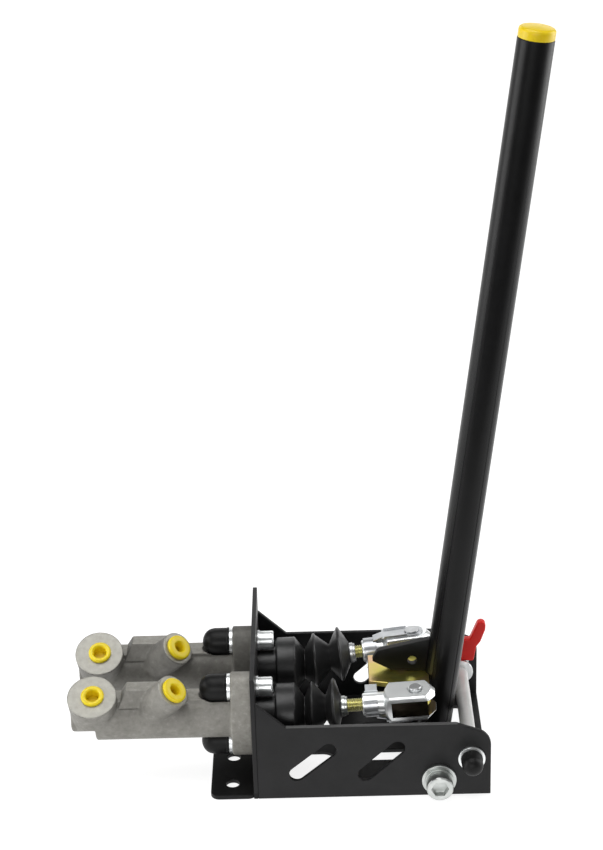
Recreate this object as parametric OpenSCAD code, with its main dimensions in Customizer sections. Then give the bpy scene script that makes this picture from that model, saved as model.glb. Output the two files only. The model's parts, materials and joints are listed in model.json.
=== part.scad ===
// Twin-cylinder hydraulic hand brake lever with a folded sheet base.
// Frame: X = 0 is the front face of the cylinder plate, +X runs to the lever,
// Y = 0 is the centre plane, Z = 0 is the underside of the base. Millimetres.

/* [Base] */
// Sheet thickness of the base and of the cylinder plate
sheet = 3; // [2.5:0.5:4]
// Outside width of the base
base_w = 126; // [120:1:140]
// Length of the side walls
base_l = 158; // [155:1:170]
// Height of the side walls
wall_h = 55.3; // [52:0.1:58]
// Height of the cylinder plate
plate_h = 92; // [86:1:100]
// Length of the front foot
foot_l = 29; // [26:1:36]
// Diameter of the foot fixing holes
foot_hole_d = 9; // [7:0.5:10]

/* [Cylinders] */
// Half the distance between the two bores
cyl_y = 30.5; // [29:0.5:32]
// Height of the bores above the floor
cyl_z = 47; // [45:0.5:49]
// Outside diameter of the barrel
barrel_d = 31; // [29:0.2:33]
// Bore diameter
bore_d = 19.05; // [17:0.05:20]
// Spacing of the two flange bolts
bolt_pitch = 41.3; // [40:0.1:44]
// Thickness of the mounting flange
flange_t = 14; // [12:0.5:15]
// Turn of the port bosses about the bore
boss_turn = 26; // [0:1:40]

/* [Lever] */
// Outside diameter of the lever tube
tube_d = 23.2; // [20:0.1:24]
// Length of the lever tube above the pivot
tube_l = 486.5; // [300:0.5:520]
// Rest lean of the lever towards the rear, degrees
lean = 7.3; // [5:0.1:9]
// Diameter of the pivot bolt
pivot_d = 12; // [10:1:12]

/* [Linkage] */
// Square section of the clevis
clevis_s = 19.5; // [18:0.5:21]
// Diameter of the clevis pins
pin_d = 8; // [7:0.5:8]
// Diameter of the push rods
rod_d = 9; // [8:0.5:9.5]

/* [Hidden] */
$fn = 64;

hw = base_w / 2;          // half width of the base
in_y = hw - sheet;        // inner face of a side wall
PX = 123.6; PZ = 13;      // lever pivot
QX = 145.2; QZ = 28.6;    // rear cross bolt
BX = -6;                  // ball end of the push rods
AX = 111.5; AZ = 58.5; AY = cyl_y + 5; // clevis pins
near_dx = -1.4; near_dz = -1.5; // the near clevis hangs a little lower on its pin
function ax(s) = AX + (s < 0 ? near_dx : 0);
function az(s) = AZ + (s < 0 ? near_dz : 0);
function rod_run(s) = norm([ax(s) - BX, AY - cyl_y]);
function rod_pitch(s) = atan((az(s) - cyl_z) / rod_run(s));
function rod_yaw(s) = atan((AY - cyl_y) / (ax(s) - BX));
function rod_len(s) = norm([rod_run(s), az(s) - cyl_z]); // ball centre to pin
far_turn = 6;             // the far casting sits turned a little further
function boss_a(s) = boss_turn + (s > 0 ? far_turn : 0);
clevis_roll = 5;          // lean of each clevis on its loose fork
yoke_t = 3.6; yoke_pitch = 3; yoke_z = 58.2;
br = bore_d / 2;
tr = tube_d / 2;
lock_a = atan((QZ - PZ) / (QX - PX)); // direction from pivot to rear bolt
black = "#1b1b1d";
zinc = "#c9ccd0";
gold = "#c8a94e";
alloy = "#9b9892";
rubber = "#151515";
yellow = "#f2d21a";
red = "#c81e1e";

// ---------- shared shapes ----------
// revolves [radius, x] points about the X axis
module turn_x(p) { rotate([0, 90, 0]) rotate_extrude($fn = 72) polygon(p); }
// bar or bore along Y from y0 to y1
module bar_y(r, y0, y1, f = 64) { translate([0, y1, 0]) rotate([90, 0, 0]) cylinder(r = r, h = y1 - y0, $fn = f); }
// bar or bore along X from x0 to x1
module bar_x(r, x0, x1, f = 64) { translate([x0, 0, 0]) rotate([0, 90, 0]) cylinder(r = r, h = x1 - x0, $fn = f); }
// rectangle with round corners
module round_rect(x0, y0, x1, y1, r) {
    translate([x0 + r, y0]) square([x1 - x0 - 2 * r, y1 - y0]);
    translate([x0, y0 + r]) square([x1 - x0, y1 - y0 - 2 * r]);
    for (x = [x0 + r, x1 - r], y = [y0 + r, y1 - r]) translate([x, y]) circle(r = r);
}
// slot between two points
module slot2(a, b, w) {
    d = [b[0] - a[0], b[1] - a[1]];
    translate(a) circle(d = w);
    translate(b) circle(d = w);
    translate(a) rotate(atan2(d[1], d[0])) translate([0, 0.03 - w / 2]) square([norm(d), w - 0.06]);
}
// outline seen from the side, standing between y0 and y1
module upright(y0, y1) { translate([0, y1, 0]) rotate([90, 0, 0]) linear_extrude(y1 - y0) children(); }
// places children in a push rod's own frame: ball at the origin, rod along +X
module rod_frame(s, roll = 0) { translate([BX, s * cyl_y, cyl_z]) rotate([-s * roll, -rod_pitch(s), s * rod_yaw(s)]) children(); }
module lever_frame() { translate([PX, 0, PZ]) rotate([0, lean, 0]) children(); }
module yoke_frame() { translate([AX, 0, yoke_z]) rotate([0, yoke_pitch, 0]) children(); }
// the four flange bolt axes
module at_bolts() { for (s = [-1, 1], t = [-1, 1]) translate([0, s * cyl_y, cyl_z + t * bolt_pitch / 2]) children(); }
module washer_y(ro, ri, y0, t) { difference() { bar_y(ro, y0, y0 + t); bar_y(ri, y0 - 1, y0 + t + 1); } }

// ---------- base ----------
module wall_outline() {
    difference() {
        polygon(concat([[sheet, 0], [base_l, 0]],
            [for (a = [0:6:66]) [base_l - 12 + 12 * cos(a), wall_h - 16.9 + 12 * sin(a)]],
            [[base_l - 23, wall_h], [22.5, wall_h], [sheet, wall_h + 18.3]]));
        slot2([29.3, 18.8], [50.7, 36.6], 10.4);
        slot2([75, 17.6], [96.2, 37.1], 10.4);
        translate([PX, PZ]) circle(d = pivot_d + 0.4);
        translate([QX, QZ]) circle(d = 6.4);
    }
}
module floor_outline() {
    difference() {
        translate([sheet, -in_y]) square([base_l - sheet, 2 * in_y]);
        for (s = [-1, 1]) {
            round_rect(16, s * 28.5 - 17, 55, s * 28.5 + 17, 9);
            slot2([79, s * 17.3], [101, s * 17.3], 12.6);
        }
        slot2([141, -35.5], [141, 35.5], 16);
    }
}
module base_tray() color(black) union() {
    linear_extrude(sheet) floor_outline();
    for (y = [-hw, in_y]) upright(y, y + sheet) wall_outline();
}
module front_plate() color(black) difference() {
    union() {
        translate([0, -hw, 0]) cube([sheet, base_w, plate_h]);
        linear_extrude(sheet) { round_rect(-foot_l, -hw, 2, hw, 6); }
    }
    translate([sheet, -hw - 1, -1]) cube([20, base_w + 2, plate_h]);
    for (s = [-1, 1]) translate([0, s * cyl_y, cyl_z]) bar_x(12.65, -5, sheet + 5);
    at_bolts() bar_x(4.3, -5, sheet + 5);
    for (y = [-48, -16, 16, 48]) translate([-14.5, y, -1]) cylinder(d = foot_hole_d, h = sheet + 2);
}

// ---------- master cylinders ----------
// flange with two round ends round a wider middle
flange_m = 17; flange_e = 10.3;   // radius of the middle and of each end
module flange_outline() {
    hp = bolt_pitch / 2;
    union() {
        circle(r = flange_m);
        for (t = [-1, 1]) translate([0, t * hp]) circle(r = flange_e);
        // straight sides between the end circles and the middle circle
        a = asin((flange_m - flange_e) / hp);
        polygon([for (t = [-1, 1], k = [0, 1])
            let (rr = (k == 0) == (t < 0) ? flange_m : flange_e, c = (k == 0) == (t < 0) ? 0 : hp, q = t)
            [q * (rr - 0.06) * cos(a), c + (rr - 0.06) * sin(a)]]);
        polygon([for (t = [-1, 1], k = [0, 1])
            let (rr = (k == 0) == (t < 0) ? flange_m : flange_e, c = (k == 0) == (t < 0) ? 0 : -hp, q = t)
            [q * (rr - 0.06) * cos(a), c - (rr - 0.06) * sin(a)]]);
    }
}
module boss1_frame(s) { rotate([boss_a(s), 0, 0]) translate([-106.1, 0, 0]) children(); }
module boss2_frame(s) { rotate([boss_a(s), 0, 0]) translate([-73.5, 0, 0]) rotate([0, 37, 0]) children(); }
module cylinder_body(s) color(alloy) translate([0, s * cyl_y, cyl_z]) difference() {
    union() {
        // flange
        translate([-flange_t, 0, 0]) rotate([90, 0, 90]) linear_extrude(flange_t) flange_outline();
        // fillet ring, barrel, nose and spigot
        turn_x([[0, -105], [barrel_d / 2 - 2, -105], [barrel_d / 2, -103], [barrel_d / 2, -flange_t - 4], [barrel_d / 2 + 1.2, -flange_t - 1], [barrel_d / 2 + 1.2, -flange_t + 1], [0, -flange_t + 1]]);
        turn_x([[0, -121.6], [7.7, -121.6], [9.5, -119.6], [9.5, -100], [0, -100]]);
        bar_x(12.5, -1, 12);
        // front port boss, turned about the bore, its underside sloping in to the nose
        intersection() {
            boss1_frame(s) translate([0, 0, -12]) cylinder(r1 = 14.8, r2 = 16.5, h = 36.7);
            translate([-125, 0, 0]) rotate([90, 0, 90]) linear_extrude(40) polygon([[-2.8, -9.2], [2.8, -9.2], [26, 4.94], [26, 40], [-26, 40], [-26, 4.94]]);
        }
        // flat pad along the top of the barrel
        translate([-100, -7.8, 4]) cube([100 - flange_t + 1, 15.6, barrel_d / 2 - 3.5]);
        // web with sloping sides between the two bosses
        intersection() {
            translate([-98, 0, 0]) rotate([90, 0, 90]) linear_extrude(46) polygon([[-10.9, 12.4], [-5.7, 23.4], [5.7, 23.4], [10.9, 12.4]]);
            upright(-20, 20) polygon([[-91.7, 8], [-89.5, 12.4], [-83.6, 24], [-58, 24], [-52, 8]]);
        }
        // angled port boss
        boss2_frame(s) translate([0, 0, 6]) cylinder(r = 11.6, h = 30.8);
    }
    // bore, mouth groove, relief and ports
    bar_x(br, -98, 13);
    turn_x([[br - 1, -3.1], [br + 1.1, -3.1], [br + 1.1, -1.5], [br - 1, -1.5]]);
    boss1_frame(s) { translate([0.6, 0, 10]) cylinder(r = 5.2, h = 20); translate([0, 0, 13]) rotate([0, 125, 0]) cylinder(r = 2, h = 16); }
    boss2_frame(s) { translate([0, 0, 21]) cylinder(r = 4.6, h = 20); translate([0, 0, 4]) cylinder(r = 1.6, h = 25); }
    // bolt holes, with room round each nut and its cap
    for (t = [-1, 1]) translate([0, 0, t * bolt_pitch / 2]) { bar_x(4.25, -flange_t - 1, 1); bar_x(10, -flange_t - 13.4, -flange_t); translate([-flange_t - 13.2, 0, 0]) sphere(r = 9.7); }
}
module near_cylinder() cylinder_body(-1);
module far_cylinder() cylinder_body(1);

module flange_bolts() color(zinc) at_bolts() difference() {
    union() {
        bar_x(4, -28.5, sheet + 2);
        turn_x([[0, sheet + 1.6], [6.5, sheet + 1.6], [6.5, sheet + 10.5], [5.9, sheet + 11.2], [0, sheet + 11.2]]);
    }
    bar_x(3.46, sheet + 6.8, sheet + 14, 6);
}
module flange_washers() color(zinc) at_bolts() difference() {
    union() { bar_x(7.2, sheet, sheet + 1.6); bar_x(9.3, -flange_t - 2.4, -flange_t); }
    bar_x(4.05, -60, 60);
}
module flange_nuts() color(zinc) at_bolts() difference() {
    bar_x(7.5, -flange_t - 9, -flange_t - 2.4, 6);
    bar_x(4.05, -60, 60);
}
// dome cap pushed over each nut
module nut_caps() color(rubber) at_bolts() difference() {
    turn_x(concat([[0, -flange_t - 2.5], [9.6, -flange_t - 2.5], [9.6, -flange_t - 12.6]],
        [for (a = [0:10:80]) [8.9 * cos(a), -flange_t - 13 - 8.1 * sin(a)]], [[0, -flange_t - 21.1]]));
    bar_x(7.7, -flange_t - 9.4, -flange_t);
    bar_x(4.2, -flange_t - 16.4, -flange_t);
}
// plastic plugs pressed in the ports, each a flanged cup
module plug(flange_r, body_r, recess_r, h) difference() {
    rotate_extrude() polygon([[0, -7], [body_r, -7], [body_r, 0], [flange_r, 0], [flange_r, h - 0.8], [flange_r - 0.9, h], [0, h]]);
    translate([0, 0, -5.6]) cylinder(r = recess_r, h = 11);
    translate([0, 0, h - 1]) cylinder(r1 = recess_r, r2 = recess_r + 0.9, h = 1.05);
}
module front_port_plugs() color(yellow) for (s = [-1, 1]) translate([0, s * cyl_y, cyl_z])
    boss1_frame(s) translate([0.6, 0, 24.7]) plug(7.7, 5.15, 4.4, 2.4);
module angled_port_plugs() color(yellow) for (s = [-1, 1]) translate([0, s * cyl_y, cyl_z])
    boss2_frame(s) translate([0, 0, 36.8]) plug(8.7, 4.55, 3.5, 3.1);

module stop_washers() color(zinc) for (s = [-1, 1]) translate([0, s * cyl_y, cyl_z]) difference() {
    bar_x(br - 0.1, -4.7, -3.15);
    bar_x(6.8, -9, 3);
}
module circlips() color(zinc) for (s = [-1, 1]) translate([0, s * cyl_y, cyl_z]) difference() {
    bar_x(br + 1, -3, -1.6);
    bar_x(7.6, -9, 3);
    translate([-9, -2.6, -20]) cube([12, 5.2, 12.6]);
}
// coil spring along X, swept from a computed helix
module coil(r, wire, x0, x1, turns) {
    n = turns * 20; m = 8;
    pts = [for (i = [0:n], j = [0:m - 1]) let (t = 360 * turns * i / n, k = 360 * j / m, rr = r + wire * cos(k))
        [x0 + (x1 - x0) * i / n + wire * sin(k), rr * cos(t), rr * sin(t)]];
    side = [for (i = [0:n - 1], j = [0:m - 1]) let (a = i * m + j, b = i * m + (j + 1) % m) [a, b, b + m, a + m]];
    polyhedron(pts, concat(side, [[for (j = [m - 1:-1:0]) j], [for (j = [0:m - 1]) n * m + j]]));
}
module near_return_spring() color(zinc) translate([0, -cyl_y, cyl_z]) coil(7.2, 1, -96.4, -51.6, 8);
module far_return_spring() color(zinc) translate([0, cyl_y, cyl_z]) coil(7.2, 1, -96.4, -51.6, 8);

// ---------- pistons ----------
module piston_body(s) color(alloy) translate([0, s * cyl_y, cyl_z]) difference() {
    turn_x([[0, -50], [4.4, -50], [4.4, -47.5], [7, -47.5], [7, -44], [br - 0.06, -44], [br - 0.06, -41.5], [7, -41.5], [7, -16], [br - 0.06, -16],
        [br - 0.06, -13.5], [7, -13.5], [7, -10], [br - 0.06, -10], [br - 0.06, -5], [0, -5]]);
    turn_x([[0, -11.3], [3, -11.3], [5.4, -8.9], [5.4, -4], [0, -4]]);
}
module near_piston() piston_body(-1);
module far_piston() piston_body(1);
module seals(s) color(rubber) translate([0, s * cyl_y, cyl_z]) for (x = [-47.3, -13.3])
    turn_x([[7.05, x], [br - 0.7, x], [br - 0.08, x + 1], [br - 0.08, x + 3.1], [7.05, x + 3.1]]);
module near_piston_seals() seals(-1);
module far_piston_seals() seals(1);

// ---------- boots ----------
// bellows: a plain sleeve at the plate, then two folds that lean with the push rod
module boot(s, v1, p1, v2, p2, e, rv, rp) color(rubber) difference() {
    union() {
        translate([0, s * cyl_y, cyl_z]) turn_x([[0, sheet + 0.1], [13.2, sheet + 0.1], [13.2, 15.4], [18.5, 15.4], [19.6, 16.5], [19.7, 28.6], [rv + 2, v1], [0, v1]]);
        rod_frame(s) turn_x([[0, v1 - 1 - BX], [rv + 1, v1 - BX], [rp, p1 - BX], [rv - 1.5, v2 - BX], [rp, p2 - BX], [9.2, e - 0.9 - BX], [8.2, e - 0.5 - BX], [8.2, e - BX], [0, e - BX]]);
    }
    translate([0, s * cyl_y, cyl_z]) turn_x([[0, sheet], [12.6, sheet], [12.6, 16.2], [17.6, 17.2], [17.8, 28], [rv, v1 - 0.6], [0, v1 - 0.6]]);
    rod_frame(s) turn_x([[0, v1 - 4 - BX], [rv - 1.2, v1 - BX], [rp - 2, p1 - BX], [rv - 3.3, v2 - BX], [rp - 2, p2 - BX], [rod_d / 2 + 1, e - 2.6 - BX], [rod_d / 2 + 0.15, e - 2.6 - BX], [rod_d / 2 + 0.15, e + 1 - BX], [0, e + 1 - BX]]);
}
module near_boot() boot(-1, 35.4, 40.7, 49.6, 55.4, 60, 9.6, 18.9);
module far_boot() boot(1, 35.6, 42.7, 53, 60.2, 67, 9.8, 18.9);

// ---------- push rods and clevises ----------
fork_a = -21; fork_b = 12.8; neck_a = -36;  // along the rod, from the pin
module pushrod(s) color(gold) rod_frame(s) union() {
    turn_x(concat([for (a = [0:10:110]) [5 * sin(a), -5 * cos(a)]], [[rod_d / 2, 2.18], [rod_d / 2, rod_len(s) - 17.5], [0, rod_len(s) - 17.5]]));
}
module near_pushrod() pushrod(-1);
module far_pushrod() pushrod(1);
module rod_collar(s, x0, x1) color(zinc) rod_frame(s)
    turn_x([[rod_d / 2 + 0.04, x0 - BX], [6.9, x0 - BX], [6.9, x1 - 1.4 - BX], [6.2, x1 - 1.4 - BX], [6.2, x1 - BX], [rod_d / 2 + 0.04, x1 - BX]]);
module near_rod_collar() rod_collar(-1, 60.4, 64.4);
module far_rod_collar() rod_collar(1, 67.4, 71.4);
// clevis turned from square bar, slotted across, pin hole upright
module clevis(s) color(zinc) rod_frame(s, clevis_roll) translate([rod_len(s), 0, 0]) difference() {
    union() {
        intersection() {
            translate([fork_a, -clevis_s / 2, -clevis_s / 2]) cube([fork_b - fork_a, clevis_s, clevis_s]);
            turn_x([[0, fork_a], [8.6, fork_a], [13.2, fork_a + 3.4], [13.2, fork_b - 6.4], [7.2, fork_b], [0, fork_b]]);
        }
        turn_x([[0, neck_a], [6.9, neck_a], [7.5, neck_a + 0.6], [7.5, fork_a + 1], [0, fork_a + 1]]);
    }
    translate([-16, -20, -5.6]) cube([40, 40, 11.2]);
    bar_x(rod_d / 2 + 0.04, neck_a - 1, -15);
    translate([0, 0, -20]) cylinder(d = pin_d + 0.1, h = 40);
    for (k = [0, 180]) rotate([k, 0, 0]) translate([0, 0, clevis_s / 2 - 1.2]) cylinder(r1 = pin_d / 2 + 0.05, r2 = pin_d / 2 + 1.5, h = 1.25);
}
module near_clevis() clevis(-1);
module far_clevis() clevis(1);
// the near clip sits below its clevis and the far one above
module clip_frame(s) { rod_frame(s, clevis_roll) translate([rod_len(s), 0, 0]) rotate([s < 0 ? 180 : 0, 0, 0]) children(); }
module clevis_pin(s) color(zinc) clip_frame(s) union() {
    translate([0, 0, -11.2]) cylinder(d = pin_d, h = 22.1);
    translate([0, 0, -11.8]) cylinder(d1 = pin_d - 1.4, d2 = pin_d, h = 0.6);
    translate([0, 0, 10.9]) cylinder(d = pin_d + 2.4, h = 1);
}
module near_clevis_pin() clevis_pin(-1);
module far_clevis_pin() clevis_pin(1);
// spring clip: a strap along the fork, a joggle and a spring hook round the neck
module clevis_clip(s) color(zinc) clip_frame(s) difference() {
    union() {
        translate([0, 0, 9.85]) linear_extrude(1) { circle(r = 7.6); translate([-20.9, -7]) square([20.9, 14]); }
        for (k = [-1, 1]) translate([-19.5, k * 7 - (k > 0 ? 1 : 0), 9.85]) cube([16, 1, 2.1]);
        upright(-4.5, 4.5) polygon([[-20.9, 10.85], [-20.4, 9.85], [-27.5, 7.95], [-27.5, 9]]);
        difference() {
            bar_x(8.7, -34.5, -25.5);
            bar_x(7.62, -40, -20);
            translate([-40, -5.2, -20]) cube([30, 10.4, 16]);
        }
        for (k = [-1, 1]) rotate([k * 50, 0, 0]) translate([-34, -0.5, -13.2]) cube([8, 1.05, 5.2]);
    }
    translate([0, 0, 0]) cylinder(d = pin_d + 0.1, h = 40);
}
module near_clevis_clip() clevis_clip(-1);
module far_clevis_clip() clevis_clip(1);

// ---------- pivot ----------
module pivot_bolt() color(zinc) translate([PX, 0, PZ]) difference() {
    union() {
        bar_y(pivot_d / 2, -hw - 7, hw + 15);
        bar_y(8.9, -hw - 12.5, -hw - 4.9);
        translate([0, -hw - 12.5, 0]) rotate([90, 0, 0]) cylinder(r1 = 8.9, r2 = 8.2, h = 0.7);
    }
    bar_y(5.77, -hw - 15, -hw - 8.6, 6);
}
module pivot_washers() color(zinc) translate([PX, 0, PZ]) { washer_y(11.5, pivot_d / 2 + 0.1, -hw - 2.6, 2.5); washer_y(11.5, pivot_d / 2 + 0.1, hw + 0.1, 2.5); }
module pivot_spring_washer() color(zinc) translate([PX, 0, PZ]) difference() {
    washer_y(9.5, pivot_d / 2 + 0.1, -hw - 4.8, 2.1);
    translate([0, -hw - 3.7, -9]) rotate([0, 0, 25]) cube([1.4, 12, 10], center = true);
}
module pivot_nut() color(zinc) translate([PX, 0, PZ]) difference() { bar_y(10.4, hw + 2.7, hw + 12.7, 6); bar_y(pivot_d / 2 + 0.04, 0, 100); }
module pivot_shims() color(zinc) translate([PX, 0, PZ]) { washer_y(9.6, pivot_d / 2 + 0.1, -in_y, 1.1); washer_y(9.6, pivot_d / 2 + 0.1, in_y - 1.1, 1.1); }
module pivot_sleeve() color(black) translate([PX, 0, PZ]) difference() { bar_y(9, -in_y + 3, in_y - 3); bar_y(7.6, -hw, hw); }
module pivot_bushes() color("#b08d57") translate([PX, 0, PZ]) for (s = [-1, 1]) mirror([0, s < 0 ? 1 : 0, 0]) difference() {
    union() { bar_y(7.56, in_y - 20, in_y - 3); bar_y(9, in_y - 3, in_y - 1.6); }
    bar_y(pivot_d / 2 + 0.06, 0, 100);
}

// ---------- rear cross bolt ----------
module rear_cross_bolt() color(zinc) translate([QX, 0, QZ]) union() { bar_y(3, -hw - 8.5, hw + 4); bar_y(5.77, hw + 1.7, hw + 5.7, 6); }
module rear_spacer_tube() color("#b9bbbd") translate([QX, 0, QZ]) difference() { bar_y(5, -in_y + 0.02, 45.9); bar_y(3.1, -hw, hw); }
module rear_end_spacer() color("#b9bbbd") translate([QX, 0, QZ]) difference() { bar_y(5, 55.9, in_y - 0.02); bar_y(3.1, 0, hw); }
module rear_washers() color(zinc) translate([QX, 0, QZ]) {
    washer_y(9, 3.1, -hw - 1.7, 1.6); washer_y(9, 3.1, hw + 0.05, 1.6); washer_y(9, 3.1, 46, 1.6); washer_y(7, 3.1, 54.3, 1.5);
}
module rear_nut() color(zinc) translate([QX, 0, QZ]) difference() { bar_y(5.77, -hw - 6.8, -hw - 1.8, 6); bar_y(3.04, -hw - 20, hw); }
module rear_nut_cap() color(rubber) translate([QX, -hw - 1.75, QZ]) rotate([0, 0, -90]) difference() {
    turn_x(concat([[0, 0], [7.3, 0], [7.3, 7.6]], [for (a = [0:10:80]) [7 * cos(a), 7.9 + 6 * sin(a)]], [[0, 13.9]]));
    bar_x(5.9, -1, 5.4);
    bar_x(3.2, -1, 9);
}

// ---------- lever ----------
module lever_tube() color(black) difference() {
    lever_frame() translate([0, 0, -7]) cylinder(r = tr, h = tube_l + 7);
    lever_frame() translate([0, 0, -8]) cylinder(r = tr - 2.2, h = tube_l + 20);
    translate([PX, 0, PZ]) bar_y(9.03, -40, 40);
}
// plug-in plastic cap with a rounded rim
module lever_top_cap() color(yellow) lever_frame() translate([0, 0, tube_l]) rotate_extrude($fn = 72)
    polygon(concat([[0, -14], [tr - 2.4, -14], [tr - 2.25, -12.5], [tr - 2.25, 0], [tr - 0.15, 0], [tr - 0.15, 4.6]],
        [for (a = [0:15:75]) [tr - 2.65 + 2.5 * cos(a), 4.6 + 2.2 * sin(a)]], [[tr - 3.2, 6.95], [0, 7.6]]));
module lever_arm() color(black) difference() {
    upright(-2.5, 2.5) difference() {
        polygon([[81.9, 68.3], [82.3, 70.4], [84.8, 75.2], [86.6, 76.5], [124, 85.2], [124, 50], [104, 50], [93.5, 61.6]]);
        translate([109, 68.3]) circle(d = 6.2);
    }
    yoke_frame() translate([-60, -30, -40]) cube([120, 60, 40 + yoke_t / 2]);
    lever_frame() cylinder(r = tr, h = 200);
}
// flat yoke: a nose under the arm and an ear at each clevis pin
module yoke_plate() color(gold) difference() {
    yoke_frame() translate([0, 0, -yoke_t / 2]) linear_extrude(yoke_t) difference() {
        union() {
            polygon([[-32.5, -17], [-20.5, -18.5], [-9.6, -AY + 3.6], [7.8, -AY - 1.5], [9.2, AY + 1.5], [-8.2, AY - 3.6], [-20.5, 18.5], [-32.5, 17]]);
            for (s = [-1, 1]) translate([ax(s) - AX, s * AY]) circle(r = 9.2);
        }
        for (s = [-1, 1]) translate([ax(s) - AX, s * AY]) circle(r = pin_d / 2 + 1);
    }
    lever_frame() cylinder(r = tr + 0.03, h = 200);
}
// quadrant on the pivot sleeve, with a notch for the lock at full pull
module lock_sector() color(black) translate([PX, 0, PZ]) difference() {
    upright(48.3, 52.2) difference() {
        circle(r = 16.2);
        circle(r = 9.03);
        rotate(29) translate([-40, 0]) square([80, 40]);
        rotate(-22) translate([-40, -40]) square([80, 40]);
        rotate(lock_a - 16) polygon([[13.6, -0.55], [17.5, -1.6], [17.5, 1.6], [13.6, 0.55]]);
    }
}

// ---------- lock ----------
module lock_shape_nose() rotate(lock_a + 180 - 28) polygon([[4, -3.4], [10, -1.1], [11.9, -0.32], [11.9, 0.32], [10, 1.1], [4, 3.4]]);
module lock_lever() color(zinc) translate([QX, 0, QZ]) difference() {
    union() {
        upright(48.3, 52.2) { circle(r = 7.8); lock_shape_nose(); }
        upright(48.3, 52.2) rotate(-22) polygon([[-3, 0], [-2.1, 34], [2.1, 34], [3, 0]]);
        bar_y(6, 47.8, 54.2);
    }
    bar_y(3.06, 0, 100);
}
// dipped soft grip over the stick
module lock_grip() color(red) translate([QX, 0, QZ]) difference() {
    upright(47.9, 53.6) polygon(concat([[-5.6, 8.8], [9.6, 8.2], [11.4, 19], [14.4, 23.2], [17.7, 32.6]],
        [for (a = [0:15:150]) [14.6 + 3.3 * cos(a), 36 + 3.3 * sin(a)]], [[6.8, 25.4], [-3.6, 25.4], [-5.6, 23.4]]));
    upright(48.28, 52.22) rotate(-22) polygon([[-3.02, 0], [-2.12, 34.02], [2.12, 34.02], [3.02, 0]]);
}

base_tray();
front_plate();
near_cylinder();
far_cylinder();
flange_bolts();
flange_washers();
flange_nuts();
nut_caps();
front_port_plugs();
angled_port_plugs();
stop_washers();
circlips();
near_return_spring();
far_return_spring();
near_boot();
far_boot();
pivot_bolt();
pivot_washers();
pivot_spring_washer();
pivot_nut();
pivot_shims();
rear_cross_bolt();
rear_spacer_tube();
rear_end_spacer();
rear_washers();
rear_nut();
rear_nut_cap();
lever_tube();
lever_top_cap();
pivot_sleeve();
pivot_bushes();
lever_arm();
yoke_plate();
lock_sector();
near_piston();
far_piston();
near_piston_seals();
far_piston_seals();
near_pushrod();
far_pushrod();
near_rod_collar();
far_rod_collar();
near_clevis();
far_clevis();
near_clevis_pin();
far_clevis_pin();
near_clevis_clip();
far_clevis_clip();
lock_lever();
lock_grip();
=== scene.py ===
import json
import math

import bmesh
import bpy
import numpy as np
from mathutils import Matrix, Vector


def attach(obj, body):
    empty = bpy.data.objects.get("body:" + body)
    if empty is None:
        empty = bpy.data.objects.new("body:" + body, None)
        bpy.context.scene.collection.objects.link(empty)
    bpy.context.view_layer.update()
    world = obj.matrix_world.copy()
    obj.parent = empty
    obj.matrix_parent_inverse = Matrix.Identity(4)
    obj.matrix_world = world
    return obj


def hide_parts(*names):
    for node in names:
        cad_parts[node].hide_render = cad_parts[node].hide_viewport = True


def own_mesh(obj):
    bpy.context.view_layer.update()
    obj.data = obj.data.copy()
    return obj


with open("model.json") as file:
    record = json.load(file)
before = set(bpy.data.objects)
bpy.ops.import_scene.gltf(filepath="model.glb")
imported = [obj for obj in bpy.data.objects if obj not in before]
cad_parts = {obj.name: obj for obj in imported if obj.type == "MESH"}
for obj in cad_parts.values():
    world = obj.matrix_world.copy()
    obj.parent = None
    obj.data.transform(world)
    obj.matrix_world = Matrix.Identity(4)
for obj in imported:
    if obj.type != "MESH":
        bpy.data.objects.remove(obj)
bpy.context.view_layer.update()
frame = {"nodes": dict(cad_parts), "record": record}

NODES = frame["nodes"]
SC = bpy.context.scene
MM = 0.001

# ---------------------------------------------------------------- sizes, mm, as in the construction
PX, PZ = 123.6, 13.0
QX, QZ = 145.2, 28.6
BX = -6.0
CY, CZ = 30.5, 47.0
AX, AZ, AY = 111.5, 58.5, 35.5
PIN = {-1: (AX - 1.4, AZ - 1.5), 1: (AX, AZ)}


def rod_angles(s):
    """Yaw, pitch in degrees and length of a push rod."""
    x, z = PIN[s]
    run = math.hypot(x - BX, AY - CY)
    return math.degrees(math.atan2(AY - CY, x - BX)), math.degrees(math.atan2(z - CZ, run)), math.hypot(run, z - CZ)


LEAN = 7.3
TUBE_R, TUBE_L = 11.6, 486.5
HW, SHEET = 63.0, 3.0
BOSS_TURN = {-1: 26.0, 1: 32.0}
BOSS1, BOSS2, TILT2 = -106.1, -73.5, 37.0


def rot(axis, deg):
    return Matrix.Rotation(math.radians(deg), 4, axis)


def mm_frame(loc, *rots):
    m = Matrix.Translation(Vector(loc) * MM)
    for r in rots:
        m = m @ r
    return m @ Matrix.Scale(MM, 4)


def rod_frame(s, roll=0.0):
    yaw, pitch, _ = rod_angles(s)
    return mm_frame((BX, s * CY, CZ), rot("Z", s * yaw), rot("Y", -pitch), rot("X", -s * roll))


def cyl_frame(s):
    return mm_frame((0, s * CY, CZ))


def lever_frame():
    return mm_frame((PX, 0, PZ), rot("Y", LEAN))


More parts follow.
